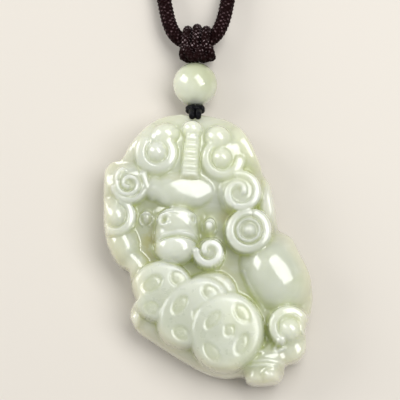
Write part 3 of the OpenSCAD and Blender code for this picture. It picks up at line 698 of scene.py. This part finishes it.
def make_bead(material):
    """The round bead, turned about the string with softened rims where the thread goes in."""
    start = math.asin((BEAD_BORE + BEAD_RIM) / BEAD_R)
    turns = [start + (math.pi - 2 * start) * k / BEAD_STEPS for k in range(BEAD_STEPS + 1)]
    profile = [(BEAD_R * math.sin(turn), BEAD_R * math.cos(turn)) for turn in turns]
    end = profile[-1][1]
    lip = [(BEAD_BORE + BEAD_RIM * 0.3, end + BEAD_RIM * 0.25), (BEAD_BORE, end + BEAD_RIM), (BEAD_BORE, 0)]
    profile += lip + [(r, -y) for r, y in reversed(lip[:-1])]
    bm = bmesh.new()
    verts = [bm.verts.new((r, y, 0)) for r, y in profile]
    edges = [bm.edges.new((verts[k], verts[(k + 1) % len(verts)])) for k in range(len(verts))]
    bmesh.ops.spin(bm, geom=verts + edges, cent=(0, 0, 0), axis=(0, 1, 0), dvec=(0, 0, 0),
                   angle=2 * math.pi, steps=2 * BEAD_STEPS, use_merge=True)
    bmesh.ops.remove_doubles(bm, verts=bm.verts[:], dist=1e-7)
    bmesh.ops.translate(bm, verts=bm.verts[:], vec=BEAD_CENTRE)
    bmesh.ops.recalc_face_normals(bm, faces=bm.faces[:])
    piece = add_object(bm, "jade_bead", material)
    # Painted shading: greener and darker towards the upper right, for the shade under the knot and the glow
    # on the left
    right, up = BEAD_GREEN_TOWARDS
    towards = [(right * (v.co.x - BEAD_CENTRE.x) + up * (v.co.y - BEAD_CENTRE.y)) / BEAD_R
               for v in piece.data.vertices]
    green = [BEAD_GREEN * smooth_step(min(max(0.5 + 0.5 * q, 0), 1)) for q in towards]
    piece.data.attributes.new("hollow", "FLOAT", "POINT").data.foreach_set("value", green)
    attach(piece, "root")
    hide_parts("bead")


def frames_along(points, closed):
    """Directions across and above a route, carried along it without twist."""
    if closed:
        ahead = np.roll(points, -1, 0) - np.roll(points, 1, 0)
    else:
        ahead = np.gradient(points, axis=0)
    ahead /= np.linalg.norm(ahead, axis=1)[:, None]
    side = np.empty_like(points)
    first = np.cross(ahead[0], (0, 0, 1.0))
    if np.linalg.norm(first) < 0.1:
        first = np.cross(ahead[0], (0, 1.0, 0))
    side[0] = first / np.linalg.norm(first)
    for i in range(1, len(points)):
        s = side[i - 1] - ahead[i] * (side[i - 1] @ ahead[i])
        side[i] = s / np.linalg.norm(s)
    up = np.cross(side, ahead)
    if closed:
        s = side[-1] - ahead[0] * (side[-1] @ ahead[0])
        gap = math.atan2(s @ up[0], s @ side[0])
        angle = -gap * np.arange(len(points)) / len(points)
        c, n = np.cos(angle)[:, None], np.sin(angle)[:, None]
        side, up = side * c + up * n, up * c - side * n
    return side, up


def braid_height(around, along):
    """Height of a round braid's yarns, 0 to 1. One unit each way holds a yarn of either lean."""
    a, b = around + along, around - along
    over = (np.floor(a) + np.floor(b)) % 2 < 1
    wide, long = np.where(over, b % 1, a % 1), np.where(over, a % 1, b % 1)
    return np.sqrt(np.sin(math.pi * wide)) * (1 - BRAID_DIP + BRAID_DIP * np.sin(math.pi * long))


def make_strand(name, route, diameter, material, yarns, cell, depth, closed=False, fine=None):
    """A braided strand along a route: a grid rolled into a tube, with its yarns raised.

    Further than `fine` from the route's start the rings lie wide apart, and the material has the yarns.
    """
    sides = yarns * RINGS_PER_CELL
    _, length = smooth_loop(route, 8, closed)
    cells = 2 * round(length / cell / 2)
    cell = length / cells
    step = cell / RINGS_PER_CELL
    if fine:
        places = np.concatenate([np.arange(0, fine, step), np.arange(fine, length - fine, 2 * cell),
                                 np.arange(length - fine, length - step / 2, step), [length]])
    else:
        places = np.linspace(0, length, cells * RINGS_PER_CELL + 1)
    dense, _ = smooth_loop(route, ROUTE_STEPS, closed)
    if closed:
        dense = np.vstack([dense, dense[:1]])
    along = np.concatenate([[0], np.cumsum(np.linalg.norm(np.diff(dense, axis=0), axis=1))])
    along *= length / along[-1]
    points = np.column_stack([np.interp(places, along, dense[:, k]) for k in range(3)])
    side, up = frames_along(points, closed)

    bm = bmesh.new()
    bmesh.ops.create_grid(bm, x_segments=len(places) - 1, y_segments=sides, size=1.0)
    mesh = bpy.data.meshes.new(name)
    uv_layer = bm.loops.layers.uv.new("braid")
    for face in bm.faces:
        for loop in face.loops:
            i = round((loop.vert.co.x + 1) / 2 * (len(places) - 1))
            loop[uv_layer].uv = (places[i] / cell, (loop.vert.co.y + 1) / 2 * yarns)
    bm.to_mesh(mesh)
    bm.free()
    flat = np.empty(len(mesh.vertices) * 3)
    mesh.vertices.foreach_get("co", flat)
    grid = flat.reshape(-1, 3)
    i = np.round((grid[:, 0] + 1) / 2 * (len(places) - 1)).astype(int)
    j = np.round((grid[:, 1] + 1) / 2 * sides).astype(int)
    height = braid_height(j / RINGS_PER_CELL, places[i] / cell)
    plain = np.zeros(len(i))
    if fine:
        near = np.minimum(places[i], length - places[i])
        plain = smooth_step(np.clip((near - fine * 0.8) / (fine * 0.2), 0, 1))
        height = height * (1 - plain) + BRAID_MEAN * plain
    radius = (diameter / 2 - depth * (1 - height))[:, None]
    angle = (2 * math.pi * j / sides)[:, None]
    place = points[i] + radius * (np.cos(angle) * side[i] + np.sin(angle) * up[i])
    mesh.vertices.foreach_set("co", place.ravel())
    mesh.attributes.new("plain", "FLOAT", "POINT").data.foreach_set("value", plain)
    bm = bmesh.new()
    bm.from_mesh(mesh)
    bpy.data.meshes.remove(mesh)
    bmesh.ops.remove_doubles(bm, verts=bm.verts[:], dist=1e-7)
    if not closed:
        for edges in end_loops(bm):
            bmesh.ops.contextual_create(bm, geom=edges)
    bmesh.ops.recalc_face_normals(bm, faces=bm.faces[:])
    return add_object(bm, name, material)


def end_loops(bm):
    """The open edges of a tube, as one list for each end."""
    left = {e for e in bm.edges if e.is_boundary}
    loops = []
    while left:
        edge = left.pop()
        loop, reach = [edge], [edge]
        while reach:
            for vert in reach.pop().verts:
                for other in vert.link_edges:
                    if other in left:
                        left.discard(other)
                        loop.append(other)
                        reach.append(other)
        loops.append(loop)
    return loops


def joined(pieces, name):
    """Makes one object of several that share a material."""
    bm = bmesh.new()
    for piece in pieces:
        bm.from_mesh(piece.data)
    whole = add_object(bm, name, pieces[0].data.materials[0])
    for piece in pieces:
        bpy.data.objects.remove(piece)
    return whole


def make_neck_cord(material):
    route = [(HANG_X + x * MM, KNOT_Y + y * MM, CORD_LOW + rise * (KNOT_Z - CORD_LOW))
             for x, y, rise in ROUTE]
    piece = make_strand("neck_braid", route, CORD_D, material, CORD_YARNS, CORD_CELL, CORD_DEPTH,
                        closed=True, fine=CORD_FINE)
    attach(piece, "root")
    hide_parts("neck_cord")


def make_top_knot(material):
    """Three slanting turns round the neck cord, and under them three bights and a stub over the bead."""
    coil = []
    for k in range(COIL_TURNS * COIL_STEPS + 1):
        turn = k / COIL_STEPS
        angle = math.radians(180 - 360 * turn)
        reach = COIL_R + COIL_SWELL * math.exp(-((turn - COIL_TURNS / 2) / 0.5) ** 2)
        coil.append((HANG_X + COIL_PITCH * (turn - 1.25), KNOT_Y + reach * math.cos(angle),
                     KNOT_Z + COIL_R * math.sin(angle)))
    pieces = [make_strand("coil", coil, STRAND_D, material, STRAND_YARNS, STRAND_CELL, STRAND_DEPTH)]
    for name, points, diameter in (("left_bight", LEFT_BIGHT, SIDE_BIGHT_D),
                                   ("right_bight", RIGHT_BIGHT, SIDE_BIGHT_D),
                                   ("bight", BIGHT, STRAND_D), ("stub", STUB, STUB_D)):
        route = [(HANG_X + x * MM, BEAD_TOP + y * MM, BEAD_CENTRE.z + z * MM) for x, y, z in points]
        pieces.append(make_strand(name, route, diameter, material, STRAND_YARNS, STRAND_CELL, STRAND_DEPTH))
    piece = joined(pieces, "braided_knot")
    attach(piece, "root")
    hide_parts("top_knot")


def ring_route(y, radius, tilt, count=14):
    """A ring round the string, tilted a little about the view."""
    slope = math.tan(math.radians(tilt))
    return [(HANG_X + radius * math.cos(2 * math.pi * k / count),
             y + slope * radius * math.cos(2 * math.pi * k / count),
             BEAD_CENTRE.z + radius * math.sin(2 * math.pi * k / count)) for k in range(count)]


def make_base_knot(material):
    """The thread's own knot: two crossed turns over a tighter one, with two tails into the stone."""
    pieces = [make_strand(name, ring_route(y, radius, tilt), thick, material, THREAD_YARNS, THREAD_CELL,
                          depth, closed=True)
              for name, y, radius, tilt, thick, depth in TURNS]
    for side in (-1, 1):
        route = [(HANG_X + side * x * MM, base_low[1] + y * MM, BEAD_CENTRE.z + z * MM) for x, y, z in TAIL]
        pieces.append(make_strand("tail", route, TAIL_D, material, THREAD_YARNS, THREAD_CELL, TAIL_DEPTH))
    piece = joined(pieces, "thread_knot")
    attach(piece, "root")
    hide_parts("base_knot")


# Materials


def new_material(name):
    material = bpy.data.materials.new(name)
    material.use_nodes = True
    tree = material.node_tree
    return material, tree, tree.nodes["Principled BSDF"]


def feed(tree, socket, value):
    """Links a value to a socket, or sets it there where it is a number or a colour."""
    if isinstance(value, bpy.types.NodeSocket):
        tree.links.new(value, socket)
    else:
        socket.default_value = value


def calc(tree, operation, *values):
    node = tree.nodes.new("ShaderNodeMath")
    node.operation = operation
    for socket, value in zip(node.inputs, values):
        feed(tree, socket, value)
    return node.outputs["Value"]


def ramp(tree, value, low, high, to_low=0.0, to_high=1.0):
    node = tree.nodes.new("ShaderNodeMapRange")
    node.interpolation_type = "SMOOTHSTEP"
    for name, number in (("From Min", low), ("From Max", high), ("To Min", to_low), ("To Max", to_high)):
        node.inputs[name].default_value = number
    tree.links.new(value, node.inputs["Value"])
    return node.outputs["Result"]


def mixed(tree, factor, first, second):
    node = tree.nodes.new("ShaderNodeMix")
    node.data_type = "RGBA"
    feed(tree, node.inputs["Factor"], factor)
    for socket, colour in ((node.inputs[6], first), (node.inputs[7], second)):
        feed(tree, socket, colour)
    return node.outputs[2]


def noise(tree, vector, scale, detail, roughness=0.5, distortion=0.0):
    node = tree.nodes.new("ShaderNodeTexNoise")
    for name, value in (("Scale", scale), ("Detail", detail), ("Roughness", roughness),
                        ("Distortion", distortion)):
        feed(tree, node.inputs[name], value)
    tree.links.new(vector, node.inputs["Vector"])
    return node.outputs["Fac"]


def attribute(tree, name):
    node = tree.nodes.new("ShaderNodeAttribute")
    node.attribute_name = name
    return node.outputs["Fac"]


def object_place(tree):
    return tree.nodes.new("ShaderNodeTexCoord").outputs["Object"]


def new_group(name, inputs, outputs):
    group = bpy.data.node_groups.new(name, "ShaderNodeTree")
    for label, kind, default in inputs:
        socket = group.interface.new_socket(name=label, in_out="INPUT", socket_type=kind)
        if default is not None:
            socket.default_value = default
    for label, kind in outputs:
        group.interface.new_socket(name=label, in_out="OUTPUT", socket_type=kind)
    return group, group.nodes.new("NodeGroupInput").outputs, group.nodes.new("NodeGroupOutput").inputs


def place_group(tree, group, **values):
    node = tree.nodes.new("ShaderNodeGroup")
    node.node_tree = group
    for label, value in values.items():
        feed(tree, node.inputs[label], value)
    return node.outputs


def make_stone_group():
    """Clouded jade: painted green shading in hollows, milky and painted light where raised, a painted warm
    glow at thin edges, stains and painted shade, with pale wisps.
    """
    group, given, out = new_group(
        "clouded_jade",
        [("Place", "NodeSocketVector", None)]
        + [(label, "NodeSocketColor", None) for label in ("Light", "Deep", "Milk", "Warm")]
        + [(label, "NodeSocketFloat", 0.0) for label in ("Hollow", "Milky", "Thin", "Stain", "Scale")],
        [("Color", "NodeSocketColor"), ("Roughness", "NodeSocketFloat")])
    # Milky colour where the stone is milky and where light is painted on raised parts and clouds
    colour = mixed(group, given["Milky"], given["Light"], given["Milk"])
    # Painted shading: the Deep colour where the mesh marks recesses, or the bead's shaded side
    colour = mixed(group, given["Hollow"], colour, given["Deep"])
    wisps = noise(group, given["Place"], given["Scale"], 5.0, 0.6, 0.8)
    colour = mixed(group, ramp(group, wisps, 0.48, 0.72, 0.0, 0.5), colour, given["Milk"])
    greener = noise(group, given["Place"], calc(group, "MULTIPLY", given["Scale"], 0.45), 2.0)
    colour = mixed(group, ramp(group, greener, 0.5, 0.75, 0.0, 0.4), colour, given["Deep"])
    # Painted edge glow: warm colour along the outline
    colour = mixed(group, calc(group, "MULTIPLY", given["Thin"], 0.7), colour, given["Warm"])
    patches = noise(group, given["Place"], calc(group, "MULTIPLY", given["Scale"], 4.0), 3.0)
    # Stains and painted shade: yellower patches
    stained = calc(group, "MULTIPLY", given["Stain"], ramp(group, patches, 0.3, 0.6))
    colour = mixed(group, stained, colour, STAIN_COLOUR)
    group.links.new(colour, out["Color"])
    worn = noise(group, given["Place"], calc(group, "MULTIPLY", given["Scale"], 6.0), 3.0)
    group.links.new(ramp(group, worn, 0.3, 0.7, 0.13, 0.24), out["Roughness"])
    return group


def jade_material(name, group, light, deep, milk, scale):
    """Polished jade in three colours, with its clouds `scale` to the metre."""
    material, tree, shader = new_material(name)
    made = place_group(tree, group, Place=object_place(tree), Light=(*light, 1), Deep=(*deep, 1),
                       Milk=(*milk, 1), Warm=WARM_COLOUR, Hollow=attribute(tree, "hollow"),
                       Milky=attribute(tree, "milk"), Thin=attribute(tree, "thin"),
                       Stain=attribute(tree, "stain"), Scale=scale)
    tree.links.new(made["Color"], shader.inputs["Base Color"])
    satin = attribute(tree, "satin")
    rough = calc(tree, "MULTIPLY_ADD", satin, SATIN_ROUGHNESS, made["Roughness"])
    tree.links.new(rough, shader.inputs["Roughness"])
    shader.inputs["IOR"].default_value = 1.64
    tree.links.new(calc(tree, "MULTIPLY_ADD", satin, -SATIN_COAT, 1.0), shader.inputs["Coat Weight"])
    shader.inputs["Coat Roughness"].default_value = 0.06
    shader.inputs["Subsurface Weight"].default_value = 0.85
    shader.inputs["Subsurface Radius"].default_value = (1.0, 1.0, 0.8)
    shader.inputs["Subsurface Scale"].default_value = 8.0 * MM
    return material


def make_braid_group():
    """Height of a braid's yarns from its UV map, in which one unit each way holds a yarn of either lean."""
    group, given, out = new_group("braid", [("UV", "NodeSocketVector", None)],
                                  [("Height", "NodeSocketFloat")])
    parts = group.nodes.new("ShaderNodeSeparateXYZ")
    group.links.new(given["UV"], parts.inputs["Vector"])
    a = calc(group, "ADD", parts.outputs["Y"], parts.outputs["X"])
    b = calc(group, "SUBTRACT", parts.outputs["Y"], parts.outputs["X"])
    floors = calc(group, "ADD", calc(group, "FLOOR", a), calc(group, "FLOOR", b))
    over = calc(group, "FLOORED_MODULO", floors, 2.0)
    waves = [calc(group, "SINE", calc(group, "MULTIPLY", calc(group, "FRACT", side), math.pi))
             for side in (a, b)]
    swap = calc(group, "SUBTRACT", waves[0], waves[1])
    across = calc(group, "MULTIPLY_ADD", swap, over, waves[1])
    along = calc(group, "SUBTRACT", calc(group, "ADD", waves[0], waves[1]), across)
    dip = calc(group, "MULTIPLY_ADD", along, BRAID_DIP, 1 - BRAID_DIP)
    group.links.new(calc(group, "MULTIPLY", calc(group, "SQRT", across), dip), out["Height"])
    return group


def cord_material(name, group, dark, light, roughness, fleck_scale, fleck_low, tint=(1, 1, 1),
                  dull_below=-1.0):
    """Braided yarns: near black in the gaps, with small paler flecks painted on the yarns' crests as glints
    where they would catch the light.

    Nearer to the stone than the given place along Y the painted glints fade out, as painted shade under the
    knot.
    """
    material, tree, shader = new_material(name)
    uv = tree.nodes.new("ShaderNodeUVMap")
    uv.uv_map = "braid"
    height = place_group(tree, group, UV=uv.outputs["UV"])["Height"]
    flecks = noise(tree, object_place(tree), fleck_scale, 3.0, 0.7)
    # Painted glints: paler colour on the yarns' crests, at random flecks
    lit = calc(tree, "MULTIPLY", ramp(tree, height, 0.6, 0.98),
               ramp(tree, flecks, fleck_low, fleck_low + 0.16))
    parts = tree.nodes.new("ShaderNodeSeparateXYZ")
    tree.links.new(object_place(tree), parts.inputs["Vector"])
    # Painted shade: the glints fade out near the stone, under the knot
    shown = ramp(tree, parts.outputs["Y"], dull_below - 1.5 * MM, dull_below, 0.15, 1.0)
    lit = calc(tree, "MULTIPLY", lit, shown)
    tree.links.new(mixed(tree, lit, (*dark, 1), (*light, 1)), shader.inputs["Base Color"])
    fibres = calc(tree, "MULTIPLY", noise(tree, object_place(tree), fleck_scale * 3, 2.0), 0.25)
    yarns = calc(tree, "MULTIPLY", height, attribute(tree, "plain"))
    bump = tree.nodes.new("ShaderNodeBump")
    bump.inputs["Strength"].default_value = 0.8
    bump.inputs["Distance"].default_value = 0.12 * MM
    tree.links.new(calc(tree, "ADD", yarns, fibres), bump.inputs["Height"])
    tree.links.new(bump.outputs["Normal"], shader.inputs["Normal"])
    shader.inputs["Roughness"].default_value = roughness
    shader.inputs["Specular IOR Level"].default_value = 0.06
    shader.inputs["Specular Tint"].default_value = (*tint, 1)
    return material


def thread_material(name, colour):
    """Waxed thread, glossy with fine fibres."""
    material, tree, shader = new_material(name)
    fibres = noise(tree, object_place(tree), 4000.0, 2.0)
    tree.links.new(ramp(tree, fibres, 0.3, 0.7, 0.25, 0.5), shader.inputs["Roughness"])
    shader.inputs["Base Color"].default_value = (*colour, 1)
    return material


def floor_material():
    material, _, shader = new_material("pale_floor")
    shader.inputs["Base Color"].default_value = FLOOR_COLOUR
    shader.inputs["Roughness"].default_value = 0.6
    return material


def make_floor():
    bm = bmesh.new()
    bmesh.ops.create_grid(bm, x_segments=1, y_segments=1, size=FLOOR_HALF)
    mesh = bpy.data.meshes.new("floor")
    bm.to_mesh(mesh)
    bm.free()
    mesh.materials.append(floor_material())
    floor = bpy.data.objects.new("floor", mesh)
    bpy.context.scene.collection.objects.link(floor)


def softbox(name, direction, distance, width, length, watts, along):
    """A rectangular light that shines at the part, with its long side as near as can be to `along`."""
    data = bpy.data.lights.new(name, "AREA")
    data.shape = "RECTANGLE"
    data.size = width
    data.size_y = length
    data.energy = watts
    light = bpy.data.objects.new(name, data)
    back = Vector(direction).normalized()
    long_side = Vector(along) - back * back.dot(Vector(along))
    long_side.normalize()
    light.location = Vector(LIGHT_TARGET) + distance * back
    light.rotation_euler = Matrix((long_side.cross(back), long_side, back)).transposed().to_euler()
    bpy.context.scene.collection.objects.link(light)


def make_lights():
    softbox("key_softbox", direction=(0.40, 0.22, 0.88), distance=0.45, width=0.24, length=0.50,
            watts=1.75, along=(-0.6, 0.8, 0))
    softbox("side_softbox", direction=(-0.82, 0.38, 0.44), distance=0.45, width=0.22, length=0.36,
            watts=1.1, along=(0, -0.35, 1))
    world = bpy.data.worlds.new("studio")
    world.use_nodes = True
    world.node_tree.nodes["Background"].inputs["Color"].default_value = (1, 1, 1, 1)
    world.node_tree.nodes["Background"].inputs["Strength"].default_value = WORLD_STRENGTH
    bpy.context.scene.world = world
    bpy.context.scene.view_settings.view_transform = "Standard"


make_camera()
braid = make_braid_group()
# The light colour of each braid is its painted glints
make_neck_cord(cord_material("plum_braid", braid, dark=PLUM_DARK, light=(0.13, 0.085, 0.09), roughness=0.5,
                             fleck_scale=1700.0, fleck_low=0.47, tint=PLUM_TINT))
stone = make_stone_group()
# The deep colour is the painted shading of recesses as well as greener patches; the milk colour also carries
# painted light
make_carving(jade_material("celadon_jade", stone, light=(0.465, 0.49, 0.39), deep=(0.56, 0.60, 0.31),
                           milk=(0.645, 0.67, 0.59), scale=110.0))
# The bead's deep colour is its painted shading
make_bead(jade_material("bead_jade", stone, light=(0.62, 0.65, 0.52), deep=(0.38, 0.41, 0.24),
                        milk=(0.62, 0.65, 0.55), scale=170.0))
make_top_knot(cord_material("plum_knot", braid, dark=PLUM_DARK, light=(0.33, 0.25, 0.26), roughness=0.46,
                            fleck_scale=2300.0, fleck_low=0.48, tint=PLUM_TINT,
                            dull_below=BEAD_TOP + 2.6 * MM))
make_base_knot(cord_material("waxed_thread", braid, dark=(0.005, 0.005, 0.006), light=(0.03, 0.03, 0.035),
                             roughness=0.28, fleck_scale=3000.0, fleck_low=0.5))
loose_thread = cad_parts["bead_cord"].data.materials
loose_thread.clear()
loose_thread.append(thread_material("thread_in_bead", (0.006, 0.006, 0.007)))
make_floor()
make_lights()
